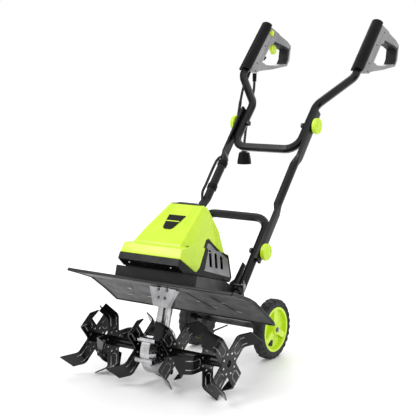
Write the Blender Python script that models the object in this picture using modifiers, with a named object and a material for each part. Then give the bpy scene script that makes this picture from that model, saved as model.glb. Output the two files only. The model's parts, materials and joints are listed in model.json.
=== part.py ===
"""Mini cultivator: a corded electric tiller with six tine stars, transport wheels and a folding handle.

Metres, +Z up, front -Y.  The origin is on the ground, in the middle of the machine's footprint.
The power head leans back, so its parts are drawn in the head frame: X across, Y to the rear along the
guard (v), Z up the gear case neck (w), with its origin on the tine axis.
"""
import math

import bmesh
import bpy
from mathutils import Matrix, Vector

GAP = 0.0003                      # clearance between pieces that touch
ORIGIN_Y = 0.0082                 # moves the drawing so that its footprint is centred on the origin

# Tines
TINE_AXIS = Vector((0, -0.4095, 0.0813))
HEAD_LEAN = math.radians(16)
STAR_X = (0.0463, 0.1345, 0.1882)            # star plates, each side of the middle
STAR_CLOCK = (52.5, 91.0, 52.5)              # first blade's angle from the front, in degrees
BLADE_WIDTH, BLADE_THICK = 0.040, 0.003
BLADE_ROOT = 0.0222                          # radius where a blade's flat part starts
BLADE_FLAT_END = (0.0600, 0.0522, 0.0562)    # radius where it bends, for each star
BLADE_BEND, BLADE_BEND_RADIUS = math.radians(62), 0.012
BLADE_TIP = (0.0400, 0.0370, 0.0405)         # length of the bent part
BLADE_TIP_BY_NECK, BLADE_TIP_SLANT = 0.0260, 0.016
PLATE_RADIUS, PLATE_THICK = 0.030, 0.0042
SLEEVE_RADIUS, SHAFT_RADIUS = 0.0115, 0.008

# Gear case
CASE_RADIUS, CASE_HALF, CASE_WALL = 0.055, 0.030, 0.004
NECK_RADIUS, NECK_TOP = 0.020, 0.1745
DRIVE_RADIUS = 0.005
GEAR_TEETH, PINION_TEETH = 24, 8

# Tine guard, in (v, w), and the deck frame
GUARD_PROFILE = ((-0.093, 0.149), (-0.049, 0.146), (-0.005, 0.1415), (0.049, 0.122), (0.076, 0.111),
                 (0.108, 0.097))
GUARD_HALF, GUARD_SHEET = 0.228, 0.002
DECK_FRONT, DECK_TOP, DECK_HALF = -0.061, 0.1775, 0.113
DECK_REAR, DECK_REAR_HALF, DECK_SHEET = 0.150, 0.0853, 0.002

# Motor housing hull: (v, w, half width)
HULL_LOW = ((-0.072, 0.179, 0.084), (-0.098, 0.192, 0.083), (-0.093, 0.208, 0.084), (-0.087, 0.231, 0.081),
            (-0.030, 0.200, 0.0865), (0.125, 0.179, 0.084), (0.128, 0.190, 0.0845), (0.118, 0.243, 0.072),
            (-0.030, 0.246, 0.074))
HULL_HIGH = ((-0.080, 0.200, 0.066), (-0.072, 0.240, 0.064), (-0.045, 0.272, 0.060), (0.020, 0.342, 0.047),
             (0.036, 0.339, 0.049), (0.095, 0.292, 0.052), (0.121, 0.243, 0.060), (0.121, 0.200, 0.070),
             (-0.040, 0.200, 0.080), (-0.030, 0.243, 0.073))
HOUSING_WALL = 0.003

# Wheels and their carriage
AXLE = Vector((0, -0.0888, 0.0745))
TYRE_RADIUS, TYRE_WIDTH, RIM_RADIUS, WHEEL_X = 0.0745, 0.027, 0.056, 0.1104
CARRIAGE_PIVOT = Vector((0, -0.229, 0.188))
ARM_X, ARM_THICK = 0.0790, 0.003
LOCK_PIN = Vector((0.0, -0.2265, 0.2095))

# Handle: three tube sections with a bolt and knob at each joint
TUBE_RADIUS, TUBE_WALL = 0.011, 0.0013
LEG_X, MIDDLE_X = 0.0967, 0.105
LOWER_BOLT = Vector((0, -0.1414, 0.2784))
UPPER_BOLT = Vector((0, 0.1106, 0.5680))
LOWER_SLOPE, UPPER_SLOPE = math.radians(49.5), math.radians(47)
FLAT_IN, FLAT_OUT, FLAT_HALF = 0.1085, 0.1160, 0.013   # flattened ends of the middle tubes
KNOB_RADIUS, KNOB_THICK, BOLT_RADIUS = 0.0201, 0.0095, 0.004

# Grips, drawn in the grip frame: Y to the rear and down, Z up the grip from the tube's last bend
GRIP_SLOPE = math.radians(46)
GRIP_ROOT = Vector((0.1733, 0.2255, 0.6930))
GRIP_HALF, LOOP_HALF = 0.0165, 0.0135
CORD_RADIUS = 0.0036


# ---------------------------------------------------------------- scene and helpers

def clear_scene():
    for old in list(bpy.data.objects):
        bpy.data.objects.remove(old, do_unlink=True)


def collection(name):
    made = bpy.data.collections.new(name)
    bpy.context.scene.collection.children.link(made)
    return made


def material(name, colour, roughness, metallic=0.0):
    made = bpy.data.materials.new(name)
    made.use_nodes = True
    shader = made.node_tree.nodes["Principled BSDF"]
    shader.inputs["Base Color"].default_value = (*colour, 1)
    shader.inputs["Roughness"].default_value = roughness
    shader.inputs["Metallic"].default_value = metallic
    return made


def frame_at(name, place, turn=0.0, parent=None):
    """An empty at a place, turned about X, for a joint axis or a drawing frame."""
    parent = parent or bpy.data.objects.get("machine")
    empty = bpy.data.objects.new(name, None)
    parts.objects.link(empty)
    empty.location = place
    empty.rotation_euler.x = turn
    empty.parent = parent
    return empty


def add(name, mesh, look, parent=None, smooth=35):
    """Links a finished mesh as a part."""
    part = bpy.data.objects.new(name, mesh)
    mesh.materials.clear()
    mesh.materials.append(look)
    mesh.shade_smooth()
    mesh.set_sharp_from_angle(angle=math.radians(smooth))
    parts.objects.link(part)
    part.parent = parent or bpy.data.objects["machine"]
    return part


def to_mesh(name, bm, outward=True):
    if outward:
        bmesh.ops.recalc_face_normals(bm, faces=bm.faces)
    mesh = bpy.data.meshes.new(name)
    bm.to_mesh(mesh)
    bm.free()
    return mesh


def box(low, high):
    bm = bmesh.new()
    bmesh.ops.create_cube(bm, size=1)
    size = Vector(high) - Vector(low)
    bmesh.ops.scale(bm, vec=size, verts=bm.verts)
    bmesh.ops.translate(bm, vec=(Vector(low) + Vector(high)) / 2, verts=bm.verts)
    return to_mesh("box", bm)


def rod(start, end, radius, sides=16, end_radius=None):
    """A cylinder or cone between two points."""
    start, end = Vector(start), Vector(end)
    bm = bmesh.new()
    far = radius if end_radius is None else end_radius
    turn = Vector((0, 0, 1)).rotation_difference(end - start).to_matrix().to_4x4()
    place = Matrix.Translation((start + end) / 2) @ turn
    bmesh.ops.create_cone(bm, cap_ends=True, segments=sides, radius1=radius, radius2=far,
                          depth=(end - start).length, matrix=place)
    return to_mesh("rod", bm)


def turned(profile, sides=24, axis="X"):
    """A closed (axial, radius) outline turned about X (or Z)."""
    bm = bmesh.new()
    rings = []
    for step in range(sides):
        angle = math.tau * step / sides
        across, up = math.cos(angle), math.sin(angle)
        spots = [(a, r * across, r * up) if axis == "X" else (r * across, r * up, a) for a, r in profile]
        rings.append([bm.verts.new(spot) for spot in spots])
    for ring, following in zip(rings, rings[1:] + rings[:1]):
        for i in range(len(profile)):
            j = (i + 1) % len(profile)
            if profile[i][1] or profile[j][1]:
                bm.faces.new((ring[i], ring[j], following[j], following[i]))
    bmesh.ops.remove_doubles(bm, verts=bm.verts, dist=1e-6)
    return to_mesh("turned", bm)


def evaluated_mesh(holder):
    mesh = bpy.data.meshes.new_from_object(holder.evaluated_get(bpy.context.evaluated_depsgraph_get()))
    bpy.data.objects.remove(holder, do_unlink=True)
    return mesh


def combine(base, other, operation):
    """The EXACT Boolean of two closed meshes, as a new mesh."""
    holder = bpy.data.objects.new("holder", base)
    tool = bpy.data.objects.new("tool", other)
    cutters.objects.link(holder)
    cutters.objects.link(tool)
    step = holder.modifiers.new("step", "BOOLEAN")
    step.operation, step.solver, step.object = operation, "EXACT", tool
    mesh = evaluated_mesh(holder)
    bpy.data.objects.remove(tool, do_unlink=True)
    return mesh


def union(*meshes):
    whole = meshes[0]
    for mesh in meshes[1:]:
        whole = combine(whole, mesh, "UNION")
    return whole


def cut(mesh, *tools):
    for tool in tools:
        mesh = combine(mesh, tool, "DIFFERENCE")
    return mesh


def common(mesh, tool):
    return combine(mesh, tool, "INTERSECT")


def curve_mesh(curve):
    holder = bpy.data.objects.new("curve", curve)
    cutters.objects.link(holder)
    mesh = evaluated_mesh(holder)
    bm = bmesh.new()
    bm.from_mesh(mesh)
    bmesh.ops.remove_doubles(bm, verts=bm.verts, dist=1e-6)
    return to_mesh("curve", bm)


def outline(points, low, high, holes=()):
    """A flat outline in (Y, Z), filled and extruded along X from low to high."""
    curve = bpy.data.curves.new("outline", "CURVE")
    curve.dimensions = "2D"
    curve.fill_mode = "BOTH"
    curve.extrude = (high - low) / 2
    for ring in (points, *holes):
        spline = curve.splines.new("POLY")
        spline.points.add(len(ring) - 1)
        spline.use_cyclic_u = True
        for spot, (y, z) in zip(spline.points, ring):
            spot.co = (y, z, 0, 1)
    mesh = curve_mesh(curve)
    # the curve's own X, Y and Z become Y, Z and X
    mesh.transform(Matrix(((0, 0, 1, (low + high) / 2), (1, 0, 0, 0), (0, 1, 0, 0), (0, 0, 0, 1))))
    return mesh


def arc(centre, radius, start, end, steps):
    """Points on a circular arc, angles in degrees."""
    turns = [math.radians(start + (end - start) * i / steps) for i in range(steps + 1)]
    return [(centre[0] + radius * math.cos(t), centre[1] + radius * math.sin(t)) for t in turns]


def rounded(corners, steps=6):
    """A route through corners (point, bend radius), with each bend as an arc."""
    points = [Vector(corners[0][0])]
    for (before, _), (corner, radius), (after, _) in zip(corners, corners[1:], corners[2:]):
        corner = Vector(corner)
        back, on = (Vector(before) - corner).normalized(), (Vector(after) - corner).normalized()
        half = back.angle(on) / 2
        centre = corner + (back + on).normalized() * radius / math.sin(half)
        first, last = corner + back * radius / math.tan(half), corner + on * radius / math.tan(half)
        for i in range(steps + 1):
            spoke = (first - centre).normalized().slerp((last - centre).normalized(), i / steps)
            points.append(centre + spoke * radius)
    points.append(Vector(corners[-1][0]))
    return points


def wire(points, radius, resolution=2):
    """A solid round rod along a route."""
    curve = bpy.data.curves.new("wire", "CURVE")
    curve.dimensions = "3D"
    curve.bevel_depth, curve.bevel_resolution, curve.use_fill_caps = radius, resolution, True
    spline = curve.splines.new("POLY")
    spline.points.add(len(points) - 1)
    for spot, point in zip(spline.points, points):
        spot.co = (*point, 1)
    return curve_mesh(curve)


def tube(points, radius, wall):
    """A hollow tube along a route, open at both ends."""
    first = points[0] + (points[0] - points[1]).normalized() * 0.002
    last = points[-1] + (points[-1] - points[-2]).normalized() * 0.002
    return cut(wire(points, radius, 2), wire([first, *points[1:-1], last], radius - wall, 1))


def smooth_route(points, steps):
    """A smooth curve through hand-picked points (Catmull-Rom)."""
    ends = [2 * points[0] - points[1], *points, 2 * points[-1] - points[-2]]
    route = []
    for a, b, c, d in zip(ends, ends[1:], ends[2:], ends[3:]):
        for i in range(steps):
            t = i / steps
            route.append(0.5 * (2 * b + (c - a) * t + (2 * a - 5 * b + 4 * c - d) * t * t
                                + (3 * b - a - 3 * c + d) * t ** 3))
    return [*route, points[-1]]


def along(root, slope, distance, x):
    """A point at a distance from a root up a slope in the YZ plane."""
    return Vector((x, root.y + distance * math.cos(slope), root.z + distance * math.sin(slope)))


def mirrored(mesh):
    twin = mesh.copy()
    twin.transform(Matrix.Scale(-1, 4, (1, 0, 0)))
    twin.flip_normals()
    return twin


def both(name, mesh, look, parent=None):
    """The right-hand mesh and its mirrored left twin."""
    add(name + "_left", mirrored(mesh), look, parent)
    return add(name + "_right", mesh, look, parent)


# ---------------------------------------------------------------- tines

def blade(inward, flat_end, tip):
    """One L-bent blade, pointing along +Y, its bent end towards -X if inward, else +X."""
    bm = bmesh.new()
    flat = flat_end - BLADE_ROOT
    bend = BLADE_BEND_RADIUS * BLADE_BEND
    stations = [0, flat] + [flat + bend * (i + 1) / 3 for i in range(3)] + [flat + bend + tip]
    bmesh.ops.create_grid(bm, x_segments=len(stations) - 1, y_segments=1, size=0.5)
    bm.verts.ensure_lookup_table()
    columns = sorted({round(v.co.x, 4) for v in bm.verts})
    side = -1 if inward else 1
    for v in bm.verts:
        s, across = stations[columns.index(round(v.co.x, 4))], math.copysign(BLADE_WIDTH / 2, v.co.y)
        if s == stations[-1] and across > 0:
            s -= BLADE_TIP_SLANT
        turn = min(max((s - flat) / BLADE_BEND_RADIUS, 0), BLADE_BEND)
        rest = max(s - flat - bend, 0)
        reach = min(s, flat) + BLADE_BEND_RADIUS * math.sin(turn) + rest * math.cos(BLADE_BEND)
        lean = BLADE_BEND_RADIUS * (1 - math.cos(turn)) + rest * math.sin(BLADE_BEND)
        v.co = (side * lean, BLADE_ROOT + reach, across)
    mesh = to_mesh("blade", bm, outward=False)
    holder = bpy.data.objects.new("blade", mesh)
    cutters.objects.link(holder)
    skin = holder.modifiers.new("skin", "SOLIDIFY")
    skin.thickness, skin.offset = BLADE_THICK, 0
    bm = bmesh.new()
    bm.from_mesh(evaluated_mesh(holder))
    return to_mesh("blade", bm)


def tine_star(name, side, index, look, parent):
    """Hub plate, four blades and the sleeve that reaches in to the next plate."""
    plate_x = STAR_X[index]
    inner = (CASE_HALF + 0.0015, STAR_X[0] + PLATE_THICK / 2 + GAP, STAR_X[1] + PLATE_THICK / 2 + GAP)[index]
    star = union(rod((plate_x - PLATE_THICK / 2, 0, 0), (plate_x + PLATE_THICK / 2, 0, 0), PLATE_RADIUS, 24),
                 rod((inner, 0, 0), (plate_x, 0, 0), SLEEVE_RADIUS, 16))
    for number in range(4):
        # alternate blades bend towards and away from the gear case
        inward = number % 2 == (1 if index == 1 else 0)
        by_neck = inward and index == 0
        piece = blade(inward, BLADE_FLAT_END[index], BLADE_TIP_BY_NECK if by_neck else BLADE_TIP[index])
        angle = math.radians(STAR_CLOCK[index] + 90 * number)
        # from +Y, turned so that it points forward (-Y) at 0 and up (+Z) at 90 degrees
        piece.transform(Matrix.Translation((plate_x, 0, 0)) @ Matrix.Rotation(math.pi - angle, 4, "X"))
        star = union(star, piece)
    star = cut(star, rod((inner - 0.01, 0, 0), (plate_x + 0.01, 0, 0), SHAFT_RADIUS + GAP, 16))
    star = star if side > 0 else mirrored(star)
    add(name, star, look, parent)


def toothed(near_x, far_x, near_radius, far_radius, teeth, depth):
    """A toothed cone along X, for a bevel gear."""
    bm = bmesh.new()
    rings = []
    for x, radius in ((near_x, near_radius), (far_x, far_radius)):
        ring = []
        for step in range(teeth * 4):
            reach = radius if step % 4 in (0, 1) else radius - depth
            angle = math.tau * step / (teeth * 4)
            ring.append(bm.verts.new((x, reach * math.cos(angle), reach * math.sin(angle))))
        rings.append(ring)
    for i in range(teeth * 4):
        j = (i + 1) % (teeth * 4)
        bm.faces.new((rings[0][i], rings[0][j], rings[1][j], rings[1][i]))
    bm.faces.new(rings[0])
    bm.faces.new(rings[1])
    return to_mesh("toothed", bm)


def tine_assembly():
    axis = frame_at("tine_axis", TINE_AXIS, -HEAD_LEAN)
    level = frame_at("tine_level", TINE_AXIS)
    end = STAR_X[2] - 0.003
    add("tine_shaft", rod((-end, 0, 0), (end, 0, 0), SHAFT_RADIUS, 16), steel, axis)
    gear = union(toothed(0.0115, 0.0165, 0.0275, 0.0310, GEAR_TEETH, 0.002),
                 rod((0.0160, 0, 0), (0.0220, 0, 0), 0.018, 24))
    gear = cut(gear, rod((0, 0, 0), (0.03, 0, 0), SHAFT_RADIUS + GAP, 16))
    add("bevel_gear", gear, bronze, axis)
    number = 0
    for side, name in ((-1, "left"), (1, "right")):
        for index, place in enumerate(("inner", "middle", "outer")):
            number += 1
            tine_star(f"tine_star_{name}_{place}", side, index, tine_black, level)


# ---------------------------------------------------------------- gear case and drive

def case_solid(radius, half, neck, neck_top):
    """The round housing with its neck, as one solid."""
    rim = half * 0.4
    profile = ((-half, 0.0), (-half, radius * 0.36), (-half * 0.72, radius * 0.72), (-rim, radius),
               (rim, radius), (half * 0.72, radius * 0.72), (half, radius * 0.36), (half, 0.0))
    # the neck is narrow where the inner blades pass it
    waist = rod((0, 0, 0.010), (0, 0, 0.110), neck, 22)
    waist.transform(Matrix.Diagonal((0.70, 1.12, 1.0, 1.0)))
    return union(turned(profile, 32), waist, rod((0, 0, 0.1030), (0, 0, neck_top), neck, 24))


def gear_case(head):
    solid = case_solid(CASE_RADIUS, CASE_HALF, NECK_RADIUS, NECK_TOP)
    fan = ((0.0, 0.0965), (0.0195, 0.0975), (0.0375, 0.138), (0.0375, 0.1405), (-0.0375, 0.1405),
           (-0.0375, 0.138), (-0.0195, 0.0975))
    plate = outline(fan, -0.023, -0.010)
    # drawn in (x, w), extruded along v
    plate.transform(Matrix(((0, 1, 0, 0), (1, 0, 0, 0), (0, 0, 1, 0), (0, 0, 0, 1))))
    bm = bmesh.new()
    bm.from_mesh(plate)
    plate = to_mesh("fan", bm)
    boss = [rod((-CASE_HALF * 0.8, v, w), (CASE_HALF * 0.8, v, w), 0.0065, 12)
            for v, w in ((-0.050, 0.020), (-0.048, -0.026), (0.030, -0.046), (0.052, 0.010))]
    solid = union(solid, plate, *boss)
    hollow = case_solid(CASE_RADIUS - CASE_WALL, CASE_HALF - CASE_WALL, NECK_RADIUS - 0.005, NECK_TOP + 0.01)
    solid = cut(solid, hollow, rod((-0.05, 0, 0), (0.05, 0, 0), SHAFT_RADIUS + 0.0006, 20))
    right = cut(solid.copy(), box((-0.1, -0.1, -0.1), (GAP / 2, 0.1, 0.2)))
    left = cut(solid, box((-GAP / 2, -0.1, -0.1), (0.1, 0.1, 0.2)))
    add("gear_case_right", right, cast, head)
    add("gear_case_left", left, cast, head)
    pinion = toothed(0.0230, 0.0330, 0.0078, 0.0105, PINION_TEETH, 0.0018)
    pinion.transform(Matrix.Rotation(math.radians(-90), 4, "Y"))
    shaft = union(pinion, rod((0, 0, 0.030), (0, 0, 0.1800), DRIVE_RADIUS, 12))
    add("drive_shaft", shaft, steel, head)


def bent_sheet(profile, half, thick):
    """A sheet that follows a (v, w) profile, from -half to half across."""
    above, below = [], []
    for i, spot in enumerate(profile):
        before, after = Vector(profile[max(i - 1, 0)]), Vector(profile[min(i + 1, len(profile) - 1)])
        tangent = (after - before).normalized()
        normal = Vector((-tangent.y, tangent.x)) * thick / 2
        above.append(tuple(Vector(spot) + normal))
        below.append(tuple(Vector(spot) - normal))
    return outline(above + below[::-1], -half, half)


def tine_guard(head):
    guard = bent_sheet(GUARD_PROFILE, GUARD_HALF, GUARD_SHEET)
    first, last = GUARD_PROFILE[0], GUARD_PROFILE[-1]
    edges = [rod((-GUARD_HALF, *spot), (GUARD_HALF, *spot), 0.0028, 10) for spot in (first, last)]
    ends = []
    for side in (-1, 1):
        path = [(side * (GUARD_HALF - 0.001), v, w) for v, w in GUARD_PROFILE]
        ends.append(wire([Vector(p) for p in path], 0.0032, 1))
    guard = union(guard, *edges, *ends)
    guard = cut(guard, rod((0, 0, 0.10), (0, 0, 0.19), NECK_RADIUS + 0.001, 24))
    add("tine_guard", guard, sheet_grey, head)


def deck_frame(head):
    """A tapered steel tray, open below and behind, between the guard, the motor and the legs."""
    plan_front, plan_rear = (DECK_FRONT, DECK_HALF), (DECK_REAR, DECK_REAR_HALF)

    def tray(inset, top, bottom, rear):
        bm = bmesh.new()
        corners = []
        for v, half, high, low in ((plan_front[0] + inset, plan_front[1] - inset, top, bottom),
                                   (0.105, DECK_REAR_HALF - inset, top, 0.1450),
                                   (rear, plan_rear[1] - inset, top - 0.012, 0.1430)):
            corners.append([bm.verts.new(spot) for spot in
                            ((-half, v, low), (half, v, low), (half, v, high), (-half, v, high))])
        for near, far in zip(corners, corners[1:]):
            for i in range(4):
                j = (i + 1) % 4
                bm.faces.new((near[i], near[j], far[j], far[i]))
        bm.faces.new(corners[0])
        bm.faces.new(corners[-1])
        return to_mesh("tray", bm)

    solid = tray(0, DECK_TOP, 0.1510, DECK_REAR)
    inside = tray(DECK_SHEET, DECK_TOP - DECK_SHEET, 0.120, DECK_REAR + 0.02)
    deck = cut(solid, inside, box((-0.2, -0.1, 0.12), (0.2, 0.2, 0.1445)))
    deck = cut(deck, rod((0, 0, 0.17), (0, 0, 0.19), 0.012, 20), *pivot_cutters(head))
    add("deck_frame", deck, sheet_grey, head)


def pivot_cutters(head=None):
    """Clearance holes for the carriage bolts and the lock pin, in the world or in the head frame."""
    tools = [rod((-0.13, *CARRIAGE_PIVOT.yz), (0.13, *CARRIAGE_PIVOT.yz), BOLT_RADIUS + GAP, 16),
             rod((0.05, *LOCK_PIN.yz), (0.13, *LOCK_PIN.yz), 0.0033, 12)]
    if head:
        inverse = (Matrix.Translation(TINE_AXIS) @ Matrix.Rotation(-HEAD_LEAN, 4, "X")).inverted()
        for tool in tools:
            tool.transform(inverse)
    return tools


# ---------------------------------------------------------------- motor housing

def hull(points, inset=0.0):
    """The convex body round mirrored (v, w, half width) points."""
    bm = bmesh.new()
    middle = Vector((0, 0.010, 0.235))
    for v, w, half in points:
        for side in (-1, 1):
            spot = Vector((side * half, v, w))
            bm.verts.new(spot - (spot - middle).normalized() * inset)
    result = bmesh.ops.convex_hull(bm, input=bm.verts)
    loose = [g for g in result["geom_interior"] + result["geom_unused"] if isinstance(g, bmesh.types.BMVert)]
    bmesh.ops.delete(bm, geom=loose, context="VERTS")
    bmesh.ops.dissolve_limit(bm, angle_limit=math.radians(1), verts=bm.verts, edges=bm.edges)
    return to_mesh("hull", bm)


def motor_housing(head):
    outside = union(hull(HULL_LOW), hull(HULL_HIGH))
    inside = union(hull(HULL_LOW, HOUSING_WALL * 1.4), hull(HULL_HIGH, HOUSING_WALL * 1.4))
    shell = cut(outside, inside)
    wide = 0.12
    arch = ((-0.022, 0.186), (0.012, 0.240), (0.028, 0.264), (0.040, 0.268), (0.054, 0.262), (0.106, 0.2405),
            (0.150, 0.2405), (0.150, 0.186))
    vent = ((0.004, 0.193), (0.024, 0.238), (0.034, 0.2575), (0.044, 0.2575), (0.114, 0.231), (0.1215, 0.189))
    base_line = ((-0.15, 0.15), (-0.15, 0.2077), (-0.0930, 0.2077), (-0.030, 0.1860), (-0.022, 0.1860),
                 *arch[1:6], (0.15, 0.2405), (0.15, 0.15))
    rear_line = ((0.0250, 0.40), (0.0250, 0.3300), (0.0480, 0.3170), (0.0900, 0.2840), (0.1130, 0.2500),
                 (0.1180, 0.2408), (0.150, 0.2408), (0.150, 0.40))
    below = outline(base_line, -wide, wide)
    behind = outline(rear_line, -0.0300, 0.0300)
    vents = outline(vent, 0.03, wide)
    rest = cut(shell.copy(), below)
    cover = cut(rest.copy(), behind)
    cap = common(rest, shrunk(rear_line, -0.0297, 0.0297))
    base = common(shell.copy(), shrunk(base_line, -wide, wide))
    holes = [vents, mirrored(vents), rod((0, 0, 0.16), (0, 0, 0.20), 0.012, 20)]
    base = cut(base, *holes)
    panel = common(shell, shrunk(vent, 0.03, wide))
    slots = [outline(((v - 0.002, 0.204), (v + 0.010, 0.204), (v + 0.009, top - 0.005), (v + 0.005, top),
                      (v, top), (v - 0.003, top - 0.005)), 0.03, wide)
             for v, top in ((0.030, 0.243), (0.055, 0.239), (0.080, 0.235))]
    panel = cut(panel, *slots)
    add("motor_cover", biggest(cover), lime, head, 25)
    add("rear_cap", biggest(cap), black, head, 25)
    add("motor_base", biggest(base), black, head, 25)
    both("side_vent", biggest(panel), silver, head)


def offset(points, reach):
    """An outline moved in by a distance, or out if it is negative."""
    ring = [Vector(p) for p in points]
    area = sum(a.cross(b) for a, b in zip(ring, ring[1:] + ring[:1]))
    turn = 1 if area > 0 else -1
    moved = []
    for i, spot in enumerate(ring):
        one = (spot - ring[i - 1]).normalized()
        two = (ring[(i + 1) % len(ring)] - spot).normalized()
        first, second = Vector((-one.y, one.x)) * turn, Vector((-two.y, two.x)) * turn
        slant = (first + second).normalized()
        moved.append(tuple(spot + slant * reach / max(slant.dot(first), 0.3)))
    return moved


def shrunk(points, low, high):
    """An outline drawn in by the clearance, so that neighbours don't touch."""
    return outline(offset(points, GAP), low, high)


def biggest(mesh):
    """Keeps the largest connected body of a mesh."""
    bm = bmesh.new()
    bm.from_mesh(mesh)
    left, best = set(bm.verts), []
    while left:
        group, edge = set(), [next(iter(left))]
        while edge:
            v = edge.pop()
            if v in group:
                continue
            group.add(v)
            edge.extend(e.other_vert(v) for e in v.link_edges)
        left -= group
        best = group if len(group) > len(best) else best
    bmesh.ops.delete(bm, geom=[v for v in bm.verts if v not in best], context="VERTS")
    return to_mesh("body", bm, outward=False)


def motor(head):
    reduction = cut(rod((0, 0, 0.1840), (0, 0, 0.2040), 0.040, 28),
                    rod((0, 0, 0.17), (0, 0, 0.21), 0.0055, 16))
    add("reduction_box", reduction, cast, head)
    armature = union(rod((0, 0, 0.1900), (0, 0, 0.2750), 0.0045, 12),
                     rod((0, 0, 0.2065), (0, 0, 0.2150), 0.036, 24),
                     rod((0, 0, 0.2200), (0, 0, 0.2640), 0.0235, 20), rod((0, 0, 0.2660), (0, 0, 0.2740),
                                                                          0.011, 16))
    add("rotor", armature, copper, head)
    stator = cut(rod((0, 0, 0.2200), (0, 0, 0.2620), 0.040, 28), rod((0, 0, 0.21), (0, 0, 0.28), 0.0245, 24))
    add("motor_stator", stator, steel, head)


# ---------------------------------------------------------------- wheels and carriage

def wheels():
    for side, name in ((-1, "left"), (1, "right")):
        axis = frame_at(f"wheel_axis_{name}", Vector((side * WHEEL_X, AXLE.y, AXLE.z)))
        half = TYRE_WIDTH / 2
        tyre = turned(((-half, RIM_RADIUS + GAP), (-half, TYRE_RADIUS - 0.007),
                       (-half + 0.004, TYRE_RADIUS - 0.001),
                       (0, TYRE_RADIUS), (half - 0.004, TYRE_RADIUS - 0.001), (half, TYRE_RADIUS - 0.007),
                       (half, RIM_RADIUS + GAP)), 40)
        add(f"tyre_{name}", tyre, rubber, axis)
        rim = turned(((-0.011, RIM_RADIUS), (0.0135, RIM_RADIUS), (0.0135, RIM_RADIUS - 0.006),
                      (0.004, RIM_RADIUS - 0.008), (-0.001, 0.012), (-0.005, 0.012), (-0.001,
                                                                                      RIM_RADIUS - 0.008),
                      (-0.011, RIM_RADIUS - 0.006)), 40)
        spokes = [rod((-0.011, 0, 0), (0.0150, 0, 0), 0.0135, 20)]
        for number in range(3):
            bar = box((-0.004, -0.0075, 0.008), (0.0120, 0.0075, RIM_RADIUS - 0.004))
            bar.transform(Matrix.Rotation(math.tau * number / 3, 4, "X"))
            spokes.append(bar)
        rim = cut(union(rim, *spokes), rod((-0.03, 0, 0), (0.03, 0, 0), 0.0053, 16))
        rim = rim if side > 0 else mirrored(rim)
        add(f"wheel_rim_{name}", rim, lime, axis)


def carriage():
    axis = frame_at("carriage_axis", CARRIAGE_PIVOT)
    reach = (AXLE - CARRIAGE_PIVOT).yz
    lean = math.degrees(math.atan2(reach.y, reach.x))
    ring = arc((0, 0), 0.0225, lean + 75, lean + 285, 12) + arc(reach, 0.0110, lean - 90, lean + 90, 8)
    arm = outline(ring, ARM_X - ARM_THICK / 2, ARM_X + ARM_THICK / 2)
    pin = LOCK_PIN - CARRIAGE_PIVOT
    raised = Matrix.Rotation(math.radians(-45), 4, "X") @ pin
    holes = [rod((0.05, *spot.yz), (0.09, *spot.yz), 0.0033, 12) for spot in (pin, raised)]
    arm = cut(arm, rod((0.05, 0, 0), (0.09, 0, 0), BOLT_RADIUS + GAP, 16), *holes,
              rod((0.05, *reach), (0.09, *reach), 0.0053, 16))
    both("carriage_arm", arm, sheet_grey, axis)
    centre = Vector((0, *reach))
    collar = ARM_X - ARM_THICK / 2 - GAP
    axle = union(rod(centre - Vector((0.1275, 0, 0)), centre + Vector((0.1275, 0, 0)), 0.0050, 16),
                 rod(centre - Vector((collar, 0, 0)), centre + Vector((collar, 0, 0)), 0.0075, 16))
    add("axle", axle, steel, axis)
    pivot = rod((-0.1130, *CARRIAGE_PIVOT.yz), (0.1130, *CARRIAGE_PIVOT.yz), BOLT_RADIUS, 14)
    for side in (-1, 1):
        pivot = union(pivot,
                      rod((side * 0.1082, *CARRIAGE_PIVOT.yz), (side * 0.1130, *CARRIAGE_PIVOT.yz), 0.0070,
                          6),
                      rod((side * 0.0735, *CARRIAGE_PIVOT.yz), (side * 0.0772, *CARRIAGE_PIVOT.yz), 0.0075,
                          6))
    add("carriage_pivot_rod", pivot, steel)
    pull = union(rod((0.0809, *LOCK_PIN.yz), (0.1160, *LOCK_PIN.yz), 0.0030, 12),
                 rod((0.1085, *LOCK_PIN.yz), (0.1160, *LOCK_PIN.yz), 0.0060, 16),
                 rod((0.1130, LOCK_PIN.y, LOCK_PIN.z - 0.013), (0.1130, LOCK_PIN.y, LOCK_PIN.z + 0.013),
                     0.0022, 10))
    add("lock_pin", pull, silver)
    foot = ((-0.2420, 0.1800), (-0.2370, 0.2160), (-0.2160, 0.2210), (-0.1800, 0.2560), (-0.1680, 0.2460),
            (-0.2070, 0.1985), (-0.2120, 0.1800))
    bracket = cut(outline(foot, 0.0808, 0.0828), *pivot_cutters())
    both("handle_bracket", bracket, sheet_grey)


# ---------------------------------------------------------------- handle

def bolt_hole(bolt):
    return rod((-0.15, *bolt.yz), (0.15, *bolt.yz), BOLT_RADIUS + GAP, 14)


def lower_handle():
    top = 0.0935
    foot_y, foot_z = -0.2430, 0.1850
    bend = along(LOWER_BOLT, LOWER_SLOPE, -0.1085, LEG_X)
    route = [((-LEG_X, foot_y, foot_z), 0), ((-LEG_X, bend.y, bend.z), 0.022),
             (along(LOWER_BOLT, LOWER_SLOPE, top, -LEG_X),
              0.036), (along(LOWER_BOLT, LOWER_SLOPE, top, LEG_X), 0.036),
             ((LEG_X, bend.y, bend.z), 0.022), ((LEG_X, foot_y, foot_z), 0)]
    shell = tube(rounded(route), TUBE_RADIUS, TUBE_WALL)
    add("lower_handle", cut(shell, bolt_hole(LOWER_BOLT), pivot_cutters()[0]), tube_black)


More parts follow.
